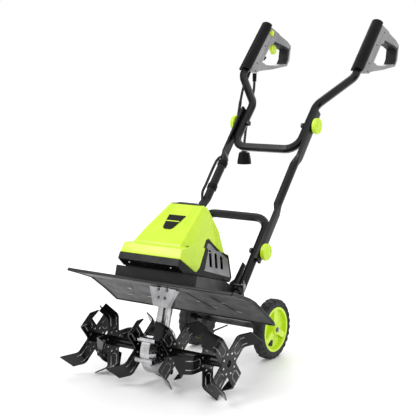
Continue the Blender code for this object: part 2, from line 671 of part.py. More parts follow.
def section(centre, slope, flat):
    """A ring of the middle tube: round at flat 0, pressed to a D at flat 1."""
    up = Vector((0, -math.sin(slope), math.cos(slope)))
    ring = []
    for step in range(14):
        angle = math.tau * step / 14
        c, s = math.cos(angle), math.sin(angle)
        spot = Vector((MIDDLE_X + c * TUBE_RADIUS, 0, 0)) + up * s * TUBE_RADIUS
        pressed = Vector((max(FLAT_OUT - 0.0075 * (1 - max(c, 0)) ** 2, FLAT_IN) if c > -0.3 else FLAT_IN, 0,
                          0))
        pressed += up * max(min(s * 1.25, 1), -1) * FLAT_HALF * (1 if c > -0.6 else abs(s) + 0.2)
        ring.append(centre + spot.lerp(pressed, flat))
    return ring


def middle_tube():
    line = UPPER_BOLT - LOWER_BOLT
    slope = math.atan2(line.z, line.y)
    lift = Vector((0, -math.sin(slope), math.cos(slope))) * 0.003
    length = line.length
    stations = ((-0.028, 1), (0.112, 1), (0.135, 0), (length - 0.125, 0), (length - 0.102, 1),
                (length + 0.045, 1))
    bm = bmesh.new()
    outer, inner = [], []
    for distance, flat in stations:
        centre = along(LOWER_BOLT, slope, distance, 0) + lift
        ring = section(centre, slope, flat)
        middle = sum(ring, Vector()) / len(ring)
        outer.append([bm.verts.new(p) for p in ring])
        inner.append([bm.verts.new(p + (middle - p).normalized() * TUBE_WALL) for p in ring])
    count = len(outer[0])
    for near, far in zip(outer + inner, outer[1:] + [None] + inner[1:] + [None]):
        if far is None:
            continue
        for i in range(count):
            j = (i + 1) % count
            bm.faces.new((near[i], near[j], far[j], far[i]))
    for ring, hole in ((outer[0], inner[0]), (outer[-1], inner[-1])):
        for i in range(count):
            j = (i + 1) % count
            bm.faces.new((ring[i], ring[j], hole[j], hole[i]))
    mesh = to_mesh("middle", bm)
    return cut(mesh, bolt_hole(LOWER_BOLT), bolt_hole(UPPER_BOLT))


def upper_handle():
    low = along(UPPER_BOLT, UPPER_SLOPE, -0.0799, LEG_X)
    kink = along(UPPER_BOLT, UPPER_SLOPE, 0.0700, LEG_X)
    end = along(GRIP_ROOT, GRIP_SLOPE, 0.135, GRIP_ROOT.x)
    half = [(end, 0), (GRIP_ROOT, 0.035), (kink, 0.045), (low, 0.038)]
    flip = Vector((-1, 1, 1))
    route = half + [(Vector(p) * flip, r) for p, r in half[::-1]]
    shell = tube(rounded(route), TUBE_RADIUS, TUBE_WALL)
    add("upper_handle", cut(shell, bolt_hole(UPPER_BOLT)), tube_black)


def fasteners():
    for bolt, place, parent_name in ((LOWER_BOLT, "lower", "lower_fold"),
                                     (UPPER_BOLT, "upper", "upper_fold")):
        shaft = union(rod((0.0795, *bolt.yz), (0.1225, *bolt.yz), BOLT_RADIUS, 14),
                      rod((0.0795, *bolt.yz), (0.0853, *bolt.yz), 0.0075, 6))
        both(f"{place}_bolt", shaft, tube_black)
        for side, name in ((-1, "left"), (1, "right")):
            axis = frame_at(f"{place}_knob_axis_{name}", Vector((side * FLAT_OUT, bolt.y, bolt.z)))
            knob = union(rod((0.0004, 0, 0), (0.0060, 0, 0), 0.0105, 16),
                         rod((0.0030, 0, 0), (0.0030 + KNOB_THICK, 0, 0), KNOB_RADIUS, 28))
            knob = cut(knob, rod((-0.01, 0, 0), (0.0090, 0, 0), BOLT_RADIUS + GAP, 14))
            knob = knob if side > 0 else mirrored(knob)
            add(f"{place}_knob_{name}", knob, lime, axis)


# ---------------------------------------------------------------- grips and switch

GRIP_OUTER = ((0.0000, 0.030), (0.030, 0.040), (0.036, 0.052), (0.091, 0.111), (0.120, 0.146),
              (0.1465, 0.177),
              (0.1450, 0.200), (0.122, 0.236), (0.100, 0.232), (0.030, 0.203), (0.000, 0.190))
OPENING = ((0.031, 0.082), (0.058, 0.097), (0.100, 0.133), (0.1320, 0.172), (0.1300, 0.190), (0.1150, 0.212),
           (0.0900, 0.200), (0.031, 0.157))
PAD_OUTER = ((0.040, 0.1740), (0.1000, 0.2120), (0.1210, 0.2215), (0.1365, 0.1940), (0.1395, 0.1790),
             (0.1320, 0.1720), (0.1300, 0.1900), (0.1150, 0.2120), (0.0900, 0.2000), (0.0400, 0.1640))


def grips():
    for side, name in ((-1, "left"), (1, "right")):
        root = frame_at(f"grip_frame_{name}", GRIP_ROOT * Vector((side, 1, 1)), GRIP_SLOPE - math.radians(90))
        bore = rod((0, 0, -0.01), (0, 0, 0.137), TUBE_RADIUS + GAP, 18)
        # drawn across the grip and extruded up it
        cover = outline([(x, 0.9 * y - 0.0030) for x, y in arc((0.0, 0.0), 0.0170, 180, 360, 10)], 0.018,
                        0.196)
        cover.transform(Matrix(((0, 1, 0, 0), (0, 0, 1, 0), (1, 0, 0, 0), (0, 0, 0, 1))))
        cover = cut(cover, bore)
        body = outline(GRIP_OUTER, -GRIP_HALF, GRIP_HALF, (OPENING,))
        slim = (box((LOOP_HALF, 0.045, 0), (0.03, 0.2, 0.3)), box((-0.03, 0.045, 0), (-LOOP_HALF, 0.2, 0.3)))
        body = cut(body, box((-0.03, -0.05, -0.05), (0.03, -0.0027, 0.25)), *slim)
        pad = outline(PAD_OUTER, -LOOP_HALF - 0.0012, LOOP_HALF + 0.0012)
        pocket = outline([(y, z) for y, z in offset(PAD_OUTER, -GAP)], -0.03, 0.03)
        body = cut(body, pocket, bore)
        if side < 0:
            slot = outline(((0.042, 0.150), (0.046, 0.190), (0.075, 0.196), (0.086, 0.186), (0.086, 0.165)),
                           -0.0062, 0.0062)
            hole = rod((-0.003, 0.010, 0.177), (0.03, 0.010, 0.177), 0.0083, 18)
            cord_hole = rod((0, 0.046, 0.045), (0, 0.026, 0.063), 0.0065, 14)
            body = cut(body, slot, hole, cord_hole)
            pad = cut(pad, slot)
        add(f"grip_cover_{name}", biggest(cover), black, root)
        add(f"grip_body_{name}", biggest(body), grip_grey, root)
        add(f"grip_rubber_{name}", biggest(pad), rubber, root)
        if side < 0:
            switch(root)


def switch(root):
    pivot = Vector((0.0, 0.050, 0.1760))
    axis = frame_at("trigger_axis", pivot, 0.0, root)
    lever = ((-0.0045, -0.004), (-0.0010, 0.0040), (0.012, 0.0060), (0.028, 0.0050), (0.033, -0.0080),
             (0.028, -0.0170), (0.010, -0.0165))
    add("trigger", outline(lever, -0.0050, 0.0050), lime, axis)
    button_axis = frame_at("button_axis", Vector((0.0200, 0.010, 0.177)), 0.0, root)
    button = union(rod((-0.0130, 0, 0), (0.0010, 0, 0), 0.0080, 18),
                   rod((0.0005, 0, 0), (0.0022, 0, 0), 0.0080, 18, 0.0055))
    add("lock_button", button, lime, button_axis)
    relief = turned(((0.0, CORD_RADIUS + GAP), (0.0, 0.0062), (0.016, 0.0058), (0.024, 0.0056),
                     (0.024, CORD_RADIUS + GAP)), 14, "Z")
    relief.transform(Matrix.Translation((0, 0.0445, 0.0465)) @ Matrix.Rotation(math.radians(-138), 4, "X")
                     @ Matrix.Translation((0, 0, -0.004)))
    add("strain_relief", relief, black, root)


# ---------------------------------------------------------------- cables

POWER_LEAD = ((-0.1733, 0.2890, 0.6750), (-0.1725, 0.2840, 0.6500), (-0.1700, 0.2640, 0.6050),
              (-0.1640, 0.2330, 0.5560), (-0.1580, 0.2130, 0.5150), (-0.1550, 0.2066, 0.4934))
MOTOR_CABLE_UPPER = ((-0.1733, 0.2630, 0.7030), (-0.1725, 0.2480, 0.6840), (-0.1665, 0.2190, 0.6620),
                     (-0.1520, 0.1800, 0.6230), (-0.1400, 0.1510, 0.5880))
MOTOR_CABLE_MIDDLE = ((-0.1348, 0.1335, 0.5615), (-0.1345, 0.1270, 0.5425), (-0.1290, 0.0870, 0.5215),
                      (-0.1230, 0.0480, 0.4870), (-0.1180, 0.0077, 0.4734), (-0.1180, -0.0415, 0.4168),
                      (-0.1165, -0.0600, 0.3985), (-0.1010, -0.0840, 0.3790), (-0.0800, -0.1118, 0.3521))
MOTOR_CABLE_LOWER = ((-0.0796, -0.1124, 0.3514), (-0.0620, -0.1400, 0.3280), (-0.0420, -0.1750, 0.3130),
                     (-0.0200, -0.2270, 0.3095))
PLUG_TOP = Vector((-0.1550, 0.2066, 0.4925))


def cables():
    for name, points in (("power_lead", POWER_LEAD), ("motor_cable_upper", MOTOR_CABLE_UPPER),
                         ("motor_cable_middle", MOTOR_CABLE_MIDDLE), ("motor_cable_lower",
                                                                      MOTOR_CABLE_LOWER)):
        route = smooth_route([Vector(p) for p in points], 3)
        add(name, wire(route, CORD_RADIUS, 2), rubber)
    profile = ((0.0, 0.0), (0.0, 0.0060), (-0.010, 0.0075), (-0.014, 0.0150), (-0.034, 0.0190),
               (-0.046, 0.0200),
               (-0.046, 0.0165), (-0.020, 0.0150), (-0.020, 0.0))
    plug = turned(profile, 20, "Z")
    plug.transform(Matrix.Translation(PLUG_TOP))
    add("plug", plug, black)


def cable_clips():
    line = UPPER_BOLT - LOWER_BOLT
    slope = math.atan2(line.z, line.y)
    lift = Vector((0, -math.sin(slope), math.cos(slope))) * 0.003
    for number, distance in ((1, 0.170), (2, 0.245)):
        centre = along(LOWER_BOLT, slope, distance, -MIDDLE_X) + lift
        half = Vector((0, math.cos(slope), math.sin(slope))) * 0.006
        ring = union(rod(centre - half, centre + half, TUBE_RADIUS + 0.0022, 20))
        ring = cut(ring, rod(centre - half * 2, centre + half * 2, TUBE_RADIUS + GAP, 20))
        add(f"cable_clip_{number}", ring, black)


# ---------------------------------------------------------------- assembly

clear_scene()
parts = collection("mini_cultivator")
cutters = collection("cutters")
lime = material("lime_plastic", (0.50, 0.78, 0.02), 0.30)
black = material("black_plastic", (0.018, 0.018, 0.018), 0.40)
rubber = material("black_rubber", (0.025, 0.025, 0.026), 0.70)
tube_black = material("tube_black", (0.030, 0.030, 0.032), 0.32, 0.4)
tine_black = material("tine_black", (0.030, 0.030, 0.032), 0.28, 0.8)
sheet_grey = material("sheet_grey", (0.055, 0.055, 0.058), 0.38, 0.5)
cast = material("cast_aluminium", (0.52, 0.52, 0.54), 0.30, 1.0)
steel = material("steel", (0.60, 0.60, 0.62), 0.28, 1.0)
silver = material("silver_plastic", (0.38, 0.38, 0.40), 0.32, 0.5)
grip_grey = material("grip_grey", (0.30, 0.30, 0.31), 0.60)
bronze = material("bronze", (0.45, 0.28, 0.12), 0.35, 1.0)
copper = material("copper_winding", (0.50, 0.22, 0.10), 0.35, 1.0)

frame_at("machine", Vector((0, ORIGIN_Y, 0)))
head_frame = frame_at("head_frame", TINE_AXIS, -HEAD_LEAN)
tine_assembly()
gear_case(head_frame)
tine_guard(head_frame)
deck_frame(head_frame)
motor_housing(head_frame)
motor(head_frame)
wheels()
carriage()
lower_handle()
both("middle_tube", middle_tube(), tube_black)
upper_handle()
fasteners()
grips()
cables()
cable_clips()
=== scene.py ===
"""Looks for the mini cultivator: a finish for every CAD part, and the detail the CAD model leaves out."""

import json
import math

import bmesh
import bpy
from mathutils import Matrix, Vector
from mathutils.bvhtree import BVHTree


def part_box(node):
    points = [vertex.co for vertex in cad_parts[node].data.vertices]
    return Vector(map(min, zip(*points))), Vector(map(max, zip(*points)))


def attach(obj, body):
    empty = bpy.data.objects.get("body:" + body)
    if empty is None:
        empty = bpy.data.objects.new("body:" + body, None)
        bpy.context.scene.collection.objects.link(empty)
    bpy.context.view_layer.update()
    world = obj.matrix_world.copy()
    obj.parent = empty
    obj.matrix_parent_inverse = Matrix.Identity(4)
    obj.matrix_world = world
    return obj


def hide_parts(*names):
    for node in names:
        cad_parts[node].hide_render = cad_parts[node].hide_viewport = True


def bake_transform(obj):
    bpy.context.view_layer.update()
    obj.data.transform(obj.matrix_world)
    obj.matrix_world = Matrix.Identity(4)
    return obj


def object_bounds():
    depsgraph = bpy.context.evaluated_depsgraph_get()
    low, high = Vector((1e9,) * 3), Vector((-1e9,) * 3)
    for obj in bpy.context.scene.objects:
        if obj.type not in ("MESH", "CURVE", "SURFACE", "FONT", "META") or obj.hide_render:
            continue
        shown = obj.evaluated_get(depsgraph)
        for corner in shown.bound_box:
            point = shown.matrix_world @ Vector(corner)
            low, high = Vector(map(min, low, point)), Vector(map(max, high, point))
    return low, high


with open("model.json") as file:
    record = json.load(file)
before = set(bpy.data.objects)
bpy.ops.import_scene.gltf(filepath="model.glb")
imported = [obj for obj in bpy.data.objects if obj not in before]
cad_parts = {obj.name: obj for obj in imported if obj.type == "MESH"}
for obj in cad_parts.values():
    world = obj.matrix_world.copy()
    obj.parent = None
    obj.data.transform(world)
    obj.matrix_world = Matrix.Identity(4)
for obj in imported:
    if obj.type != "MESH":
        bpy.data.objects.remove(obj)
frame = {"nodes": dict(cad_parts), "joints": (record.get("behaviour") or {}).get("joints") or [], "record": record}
CAD_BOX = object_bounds()
NODES = frame["nodes"]
SLOT_OF = {part["node"]: part["material_slot"] for part in frame["record"]["subparts"]}
BODY_OF = {n: body for body, members in frame["record"]["behaviour"]["bodies"].items() for n in members}
JOINTS = {joint["name"]: joint for joint in frame["joints"]}

SIDES = ((-1, "left"), (1, "right"))
FACES = (-1, 1)                                    # a piece's two faces across the machine
X = Vector((1, 0, 0))
TINE_AXIS = Vector(JOINTS["tine_spin"]["pos_m"])
HEAD_UP = Vector(JOINTS["drive_shaft_spin"]["axis"]).normalized()
HEAD_BACK = HEAD_UP.cross(X)                       # to the rear, along the guard

GRIP_SLOPE = math.radians(46)
GRIP_UP = Vector((0, math.cos(GRIP_SLOPE), math.sin(GRIP_SLOPE)))
GRIP_BACK = Vector((0, math.sin(GRIP_SLOPE), -math.cos(GRIP_SLOPE)))
TRIGGER = Vector(JOINTS["trigger_pull"]["pos_m"])
TRIGGER_BACK, TRIGGER_UP = 0.050, 0.176            # the trigger's place in its grip
GRIP_ROOT = TRIGGER - GRIP_BACK * TRIGGER_BACK - GRIP_UP * TRIGGER_UP    # the tube's last bend, on the left

RAY_LEAD = 0.080                                   # how far off a surface its rays start
SINK = 0.0003                                      # how deep ribs, rivets and screws sit in their surface
BOLT_SINK = 0.0002
PLATE_SINK = 0.001


def head(x, v, w):
    """A point of the leaning power head: across, to the rear along the guard, and up the neck."""
    return TINE_AXIS + X * x + HEAD_BACK * v + HEAD_UP * w


def grip(side, x, n, u):
    """A point of a grip: out from its middle, back from the tube, and up the tube."""
    return Vector((side * (abs(GRIP_ROOT.x) + x), *(GRIP_ROOT + GRIP_BACK * n + GRIP_UP * u).yz))


def clock(steps):
    """The angles of equal steps round a circle."""
    return [math.tau * step / steps for step in range(steps)]


def spoke_at(angle, back=1):
    """A direction square to X, at an angle above the rear, or above the front where back is -1."""
    return Vector((0, back * math.cos(angle), math.sin(angle)))


# ---------------------------------------------------------------- finishes

TONE_FROM, TONE_TO = 0.35, 0.68                    # the noise values between which the colour changes
GLOSS_FROM, GLOSS_TO = 0.35, 0.65                  # and those between which the roughness changes
GRAIN_STRENGTH = 0.6


def shader_of(name):
    made = bpy.data.materials.new(name)
    made.use_nodes = True
    return made, made.node_tree, made.node_tree.nodes["Principled BSDF"]


def noise(tree, scale, detail=4.0, roughness=0.55):
    """Noise in object coordinates, so that it has a real size on every piece."""
    place = tree.nodes.new("ShaderNodeTexCoord")
    grain = tree.nodes.new("ShaderNodeTexNoise")
    grain.inputs["Scale"].default_value = scale
    grain.inputs["Detail"].default_value = detail
    grain.inputs["Roughness"].default_value = roughness
    tree.links.new(place.outputs["Object"], grain.inputs["Vector"])
    return grain.outputs["Fac"]


def ramp(tree, value, low, high):
    """Maps noise to a range of numbers."""
    mapped = tree.nodes.new("ShaderNodeMapRange")
    mapped.inputs["From Min"].default_value, mapped.inputs["From Max"].default_value = GLOSS_FROM, GLOSS_TO
    mapped.inputs["To Min"].default_value, mapped.inputs["To Max"].default_value = low, high
    tree.links.new(value, mapped.inputs["Value"])
    return mapped.outputs["Result"]


def two_tone(tree, value, dark, light):
    mix = tree.nodes.new("ShaderNodeValToRGB")
    start, end = mix.color_ramp.elements
    start.position, end.position = TONE_FROM, TONE_TO
    start.color, end.color = (*dark, 1), (*light, 1)
    tree.links.new(value, mix.inputs["Fac"])
    return mix.outputs["Color"]


def finish_for(name, dark, light, rough, metallic=0.0, grain=900, depth=0.0002, cloud=14,
               coat=0.0, coat_rough=0.1, shine=0.5):
    """A surface with slow colour variation, uneven gloss and a fine grain."""
    made, tree, shader = shader_of(name)
    slow = noise(tree, cloud)
    fine = noise(tree, grain, 3.0, 0.6)
    uneven = noise(tree, cloud * 3, 6.0)
    tree.links.new(two_tone(tree, slow, dark, light), shader.inputs["Base Color"])
    tree.links.new(ramp(tree, uneven, *rough), shader.inputs["Roughness"])
    shader.inputs["Metallic"].default_value = metallic
    shader.inputs["Specular IOR Level"].default_value = shine
    shader.inputs["Coat Weight"].default_value = coat
    shader.inputs["Coat Roughness"].default_value = coat_rough
    bump = tree.nodes.new("ShaderNodeBump")
    bump.inputs["Strength"].default_value = GRAIN_STRENGTH
    bump.inputs["Distance"].default_value = depth
    tree.links.new(fine, bump.inputs["Height"])
    tree.links.new(bump.outputs["Normal"], shader.inputs["Normal"])
    return made


LIME, LIME_SHADE = (0.60, 0.82, 0.022), (0.52, 0.75, 0.016)
FINISHES = {
    "lime_plastic": finish_for("lime_gloss", LIME_SHADE, LIME, (0.22, 0.34), grain=1400, depth=0.00004,
                               coat=0.25, coat_rough=0.12, shine=0.4),
    "black_plastic": finish_for("black_moulded", (0.002, 0.002, 0.002), (0.006, 0.006, 0.006), (0.18, 0.32),
                                grain=2400, depth=0.00005, shine=0.15),
    "silver_plastic": finish_for("silver_paint", (0.17, 0.17, 0.18), (0.26, 0.26, 0.27), (0.26, 0.38), 0.6,
                                 grain=3000, depth=0.00003, coat=0.2),
    "grip_grey": finish_for("grip_grey", (0.22, 0.22, 0.225), (0.31, 0.31, 0.315), (0.42, 0.58),
                            grain=1800, depth=0.00022, shine=0.35),
    "black_rubber": finish_for("black_rubber", (0.006, 0.006, 0.006), (0.016, 0.016, 0.017), (0.50, 0.70),
                               grain=1300, depth=0.00018, shine=0.3),
    "tyre_rubber": finish_for("tyre_rubber", (0.012, 0.012, 0.013), (0.034, 0.034, 0.035), (0.55, 0.78),
                              grain=1000, depth=0.00025, cloud=22, shine=0.3),
    "tube_black": finish_for("tube_black", (0.004, 0.004, 0.004), (0.009, 0.009, 0.010), (0.20, 0.30), 0.0,
                             grain=2600, depth=0.00004, coat=0.08, coat_rough=0.15, shine=0.24),
    "sheet_grey": finish_for("sheet_black", (0.007, 0.007, 0.007), (0.017, 0.017, 0.018), (0.30, 0.44), 0.0,
                             grain=2200, depth=0.00008, coat=0.03, coat_rough=0.3, shine=0.26),
    "tine_black": finish_for("tine_black", (0.002, 0.002, 0.002), (0.008, 0.008, 0.008), (0.14, 0.26), 0.05,
                             grain=1600, depth=0.00006, coat=0.15, coat_rough=0.10, shine=0.22),
    # painted highlight on the blade ribs: a lighter, metallic copy of the tine finish
    "tine_rib_painted_highlight": finish_for("tine_rib_painted_highlight", (0.09, 0.09, 0.092), (0.46, 0.46, 0.47), (0.16, 0.28), 0.9,
                            grain=1600, depth=0.00004, cloud=60),
    "cast_aluminium": finish_for("cast_aluminium", (0.34, 0.34, 0.35), (0.56, 0.56, 0.57), (0.10, 0.22), 1.0,
                                 grain=1500, depth=0.00006, cloud=30),
    "bright_steel": finish_for("bright_steel", (0.22, 0.22, 0.23), (0.36, 0.36, 0.37), (0.22, 0.36), 1.0,
                               grain=1600, depth=0.00002, cloud=40),
    "dark_steel": finish_for("dark_steel", (0.03, 0.03, 0.031), (0.08, 0.08, 0.082), (0.34, 0.48), 0.8,
                             grain=900, depth=0.00002, cloud=40),
    "chrome_edge": finish_for("chrome_edge", (0.62, 0.62, 0.63), (0.80, 0.80, 0.81), (0.10, 0.20), 1.0,
                              grain=900, depth=0.00001, cloud=40),
    "bronze": finish_for("bronze", (0.40, 0.24, 0.10), (0.52, 0.33, 0.15), (0.28, 0.42), 1.0, depth=0.00005),
    "copper_winding": finish_for("copper", (0.42, 0.18, 0.08), (0.58, 0.28, 0.14), (0.28, 0.42), 1.0),
}


def finish_of(node):
    if node.startswith("tyre"):
        return FINISHES["tyre_rubber"]
    if node in ("axle", "carriage_pivot_rod"):
        return FINISHES["dark_steel"]
    return FINISHES[SLOT_OF[node]]


for node, shown in NODES.items():
    shown.data.materials.clear()
    shown.data.materials.append(finish_of(node))


# ---------------------------------------------------------------- mesh helpers

def placed(name, data):
    """A new object, linked to the scene."""
    made = bpy.data.objects.new(name, data)
    bpy.context.scene.collection.objects.link(made)
    return made


def mesh_from(name, bm, material):
    """A mesh of one material from a bmesh, which it uses up."""
    mesh = bpy.data.meshes.new(name)
    bm.to_mesh(mesh)
    bm.free()
    mesh.materials.append(material)
    return mesh


def piece(name, bm, look, body, smooth=35):
    """Finishes a bmesh as a named piece that rides on a body, or on no body if it has none."""
    bmesh.ops.recalc_face_normals(bm, faces=bm.faces)
    mesh = mesh_from(name, bm, FINISHES[look])
    mesh.shade_smooth()
    mesh.set_sharp_from_angle(angle=math.radians(smooth))
    made = placed(name, mesh)
    if body:
        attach(made, body)
    return made


def surface_of(node):
    return BVHTree.FromObject(NODES[node], bpy.context.evaluated_depsgraph_get())


def laid(tree, point, toward):
    """A point moved along a direction onto a surface, or left in its place where the surface isn't met."""
    hit, _, _, _ = tree.ray_cast(point - toward * RAY_LEAD, toward)
    return hit if hit else point


def facing(axis):
    """The turn that takes Z to an axis."""
    return Vector(axis).to_track_quat("Z", "Y").to_matrix().to_4x4()


def skin(bm, rings):
    """Joins rings of vertices, one after another, into a body that is closed at both ends."""
    for one, two in zip(rings, rings[1:]):
        for i in range(len(one)):
            j = (i + 1) % len(one)
            bm.faces.new((one[i], one[j], two[j], two[i]))
    bm.faces.new(rings[0][::-1])
    bm.faces.new(rings[-1])


def lathe(bm, at, axis, profile, steps=24):
    """Turns a (radius, height) profile round an axis through a point, and closes its ends."""
    place = Matrix.Translation(at) @ facing(axis)
    skin(bm, [[bm.verts.new(place @ Vector((radius * math.cos(a), radius * math.sin(a), height)))
               for a in clock(steps)] for radius, height in profile])


def tube_along(bm, points, radius, steps=10):
    """A round bar through points, with closed ends."""
    rings = []
    for i, point in enumerate(points):
        ahead = points[min(i + 1, len(points) - 1)] - points[max(i - 1, 0)]
        turn = facing(ahead).to_3x3()
        rings.append([bm.verts.new(point + turn @ Vector((radius * math.cos(a), radius * math.sin(a), 0)))
                      for a in clock(steps)])
    skin(bm, rings)


def hex_bolt(bm, at, axis, radius, height):
    """A washer under a chamfered hexagon head."""
    lathe(bm, at, axis, ((radius * 1.5, 0), (radius * 1.5, height * 0.22)), 20)
    lathe(bm, at, axis, ((radius, height * 0.22), (radius, height * 0.85), (radius * 0.84, height)), 6)


def pan_screw(bm, at, axis, radius, height):
    """A low round head with a hollow in the middle."""
    lathe(bm, at, axis, ((radius, 0), (radius * 0.95, height * 0.5), (radius * 0.6, height * 0.95),
                         (radius * 0.32, height), (radius * 0.30, height * 0.6)), 14)


def plate(bm, tree, points, toward, proud):
    """A thin plate whose outline is laid on a surface: points in space, cast along a direction."""
    toward = Vector(toward).normalized()
    outline = [laid(tree, Vector(point), toward) for point in points]
    top = [bm.verts.new(p - toward * proud) for p in outline]
    low = [bm.verts.new(p + toward * PLATE_SINK) for p in outline]
    skin(bm, [low, top])


def strip(bm, tree, line, width, across, toward, proud, steps):
    """A raised rib along a line, laid on a surface, with a rounded top that drops towards its ends."""
    toward, across = Vector(toward).normalized(), Vector(across).normalized()
    arch = [math.pi * k / 4 for k in range(5)]
    rows = []
    for step in range(steps + 1):
        at = step / steps * (len(line) - 1)
        i = min(int(at), len(line) - 2)
        mid = Vector(line[i]).lerp(Vector(line[i + 1]), at - i)
        fade = min(1.0, 0.35 + 6 * min(step, steps - step) / steps)
        row = []
        for angle in arch:
            foot = laid(tree, mid + across * (-math.cos(angle) * width / 2), toward)
            row.append(bm.verts.new(foot - toward * (proud * fade * math.sin(angle) - SINK)))
        rows.append(row)
    skin(bm, rows)


def softened(node, voxel, passes, keep):
    """A moulded shell with rounded edges, made from its CAD solid and shown in its place."""
    made = placed(f"{node}_shell", NODES[node].data.copy())
    grid = made.modifiers.new("grid", "REMESH")
    grid.mode, grid.voxel_size, grid.use_smooth_shade = "VOXEL", voxel, True
    relax = made.modifiers.new("relax", "SMOOTH")
    relax.factor, relax.iterations = 0.5, passes
    thin = made.modifiers.new("thin", "DECIMATE")
    thin.ratio = keep
    mesh = bpy.data.meshes.new_from_object(made.evaluated_get(bpy.context.evaluated_depsgraph_get()))
    made.modifiers.clear()
    made.data = mesh
    mesh.materials.clear()
    mesh.materials.append(finish_of(node))
    mesh.shade_smooth()
    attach(made, BODY_OF[node])
    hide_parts(node)


# ---------------------------------------------------------------- motor hood and base

SLOPE_RUN, SLOPE_RISE = 0.065, 0.070                               # of the hood's front slope
HOOD_UP = (HEAD_BACK * SLOPE_RUN + HEAD_UP * SLOPE_RISE).normalized()
HOOD_IN = (HEAD_BACK * SLOPE_RISE - HEAD_UP * SLOPE_RUN).normalized()
HOOD_FOOT = head(0, -0.045, 0.272)                                 # where the slope meets the ledge


def on_slope(places):
    """Points of the hood's front slope, from their places across it and up it."""
    return [HOOD_FOOT + HOOD_UP * up + X * x for x, up in places]


def hood_detail():
    """A blank badge with a lime line, and a ridge down each side of the slope."""
    cover = surface_of("motor_cover")
    bm = bmesh.new()
    badge = ((-0.0235, 0.052), (0.0235, 0.052), (0.0190, 0.028), (0.0140, 0.0075),
             (0.0085, 0.0025), (-0.0085, 0.0025), (-0.0140, 0.0075), (-0.0190, 0.028))
    plate(bm, cover, on_slope(badge), HOOD_IN, 0.0012)
    piece("badge", bm, "black_plastic", "root")
    bm = bmesh.new()
    line = ((-0.0185, 0.0315), (0.0185, 0.0315), (0.0180, 0.0285), (-0.0180, 0.0285))
    plate(bm, cover, on_slope(line), HOOD_IN, 0.0019)
    piece("badge_line", bm, "lime_plastic", "root")
    bm = bmesh.new()
    for side, _ in SIDES:
        ridge = on_slope((side * x, up) for x, up in ((0.030, 0.090), (0.036, 0.045), (0.045, 0.008)))
        strip(bm, cover, ridge, 0.0120, X, HOOD_IN, 0.0022, 16)
    piece("hood_ridges", bm, "lime_plastic", "root")


def crest_and_gasket():
    """The black strip along the hood's top edge, and the seal between the motor base and the deck."""
    bm = bmesh.new()
    crest = [head(x, 0.0235, 0.345) for x in (-0.044, 0.0, 0.044)]
    strip(bm, surface_of("motor_cover"), crest, 0.0110, HEAD_BACK, -HEAD_UP, 0.0022, 16)
    piece("hood_crest", bm, "black_plastic", "root")
    half, front, back, foot, thick = 0.083, -0.066, 0.122, 0.1771, 0.0040
    outline = [head(x, v, foot) for x, v in ((-half, front), (half, front), (half, back), (-half, back))]
    bm = bmesh.new()
    skin(bm, [[bm.verts.new(p + HEAD_UP * rise) for p in outline] for rise in (0, thick)])
    piece("deck_gasket", bm, "black_rubber", "root")


def base_detail():
    """Two screws in the front of the motor base."""
    base = surface_of("motor_base")
    bm = bmesh.new()
    for side, _ in SIDES:
        hit, normal, _, _ = base.ray_cast(head(side * 0.058, -0.085 - RAY_LEAD, 0.186), HEAD_BACK)
        if hit:
            pan_screw(bm, hit, normal, 0.0032, 0.0014)
    piece("base_screws", bm, "chrome_edge", "root")


# ---------------------------------------------------------------- gear case and guard

def gear_case_detail():
    """Bolts round each half of the gear case, and up the front of its neck."""
    bolt_circle = 0.046
    bm = bmesh.new()
    for side, name in SIDES:
        case = surface_of(f"gear_case_{name}")
        for angle in map(math.radians, (10, 75, 140, 215, 290)):
            spoke = HEAD_BACK * math.cos(angle) + HEAD_UP * math.sin(angle)
            hit, normal, _, _ = case.ray_cast(TINE_AXIS + spoke * bolt_circle + X * side * 0.09, -X * side)
            if hit:
                hex_bolt(bm, hit - normal * BOLT_SINK, normal, 0.0034, 0.0040)
        for x, w in ((0.012, 0.136), (0.030, 0.143), (0.009, 0.118)):
            hit, normal, _, _ = case.ray_cast(head(side * x, -0.20, w), HEAD_BACK)
            if hit:
                hex_bolt(bm, hit - normal * BOLT_SINK, normal, 0.0030, 0.0036)
    piece("gear_case_bolts", bm, "bright_steel", "root")


def guard_detail():
    """Slots, pressed ribs and rolled edge of the sheet over the tines."""
    guard = surface_of("tine_guard")
    down = -HEAD_BACK * 0.35 + HEAD_UP * -0.94
    slot_long, slot_wide = 0.0085, 0.0028          # half sizes
    bm = bmesh.new()
    for side, _ in SIDES:
        for x, v in ((0.062, 0.018), (0.094, 0.040), (0.132, 0.004), (0.156, 0.046)):
            centre = head(side * x, v, 0.06)
            ring = [centre + X * slot_long * math.cos(a) + HEAD_BACK * slot_wide * math.sin(a)
                    for a in clock(12)]
            plate(bm, guard, ring, -down, 0.0007)
    piece("guard_slots", bm, "bright_steel", "root")

    bm = bmesh.new()
    for side, _ in SIDES:
        for x in (0.046, 0.112):
            below = [head(side * (x + lean), v, 0.05)
                     for lean, v in ((0, -0.035), (0.018, 0.010), (0.040, 0.055))]
            above = [p + HEAD_UP * 0.14 for p in below]
            strip(bm, guard, below, 0.007, X, -down, 0.0016, 14)
            strip(bm, guard, above, 0.007, X, down, 0.0016, 14)
    piece("guard_ribs", bm, "sheet_grey", "root")

    def on_guard(x, v):
        hit, _, _, _ = guard.ray_cast(head(x, v, 0.30), -HEAD_UP)
        return hit if hit else head(x, v, 0.12)

    lip = 0.0021                                   # radius of the rolled edge
    edge, front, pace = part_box("tine_guard")[1].x - 0.0022, -0.0915, 0.0245
    bm = bmesh.new()
    for side, _ in SIDES:
        tube_along(bm, [on_guard(side * edge, front + pace * i) for i in range(9)], lip)
    tube_along(bm, [on_guard(-edge + 2 * edge * i / 12, front) for i in range(13)], lip)
    piece("guard_lip", bm, "sheet_grey", "root")


# ---------------------------------------------------------------- tines

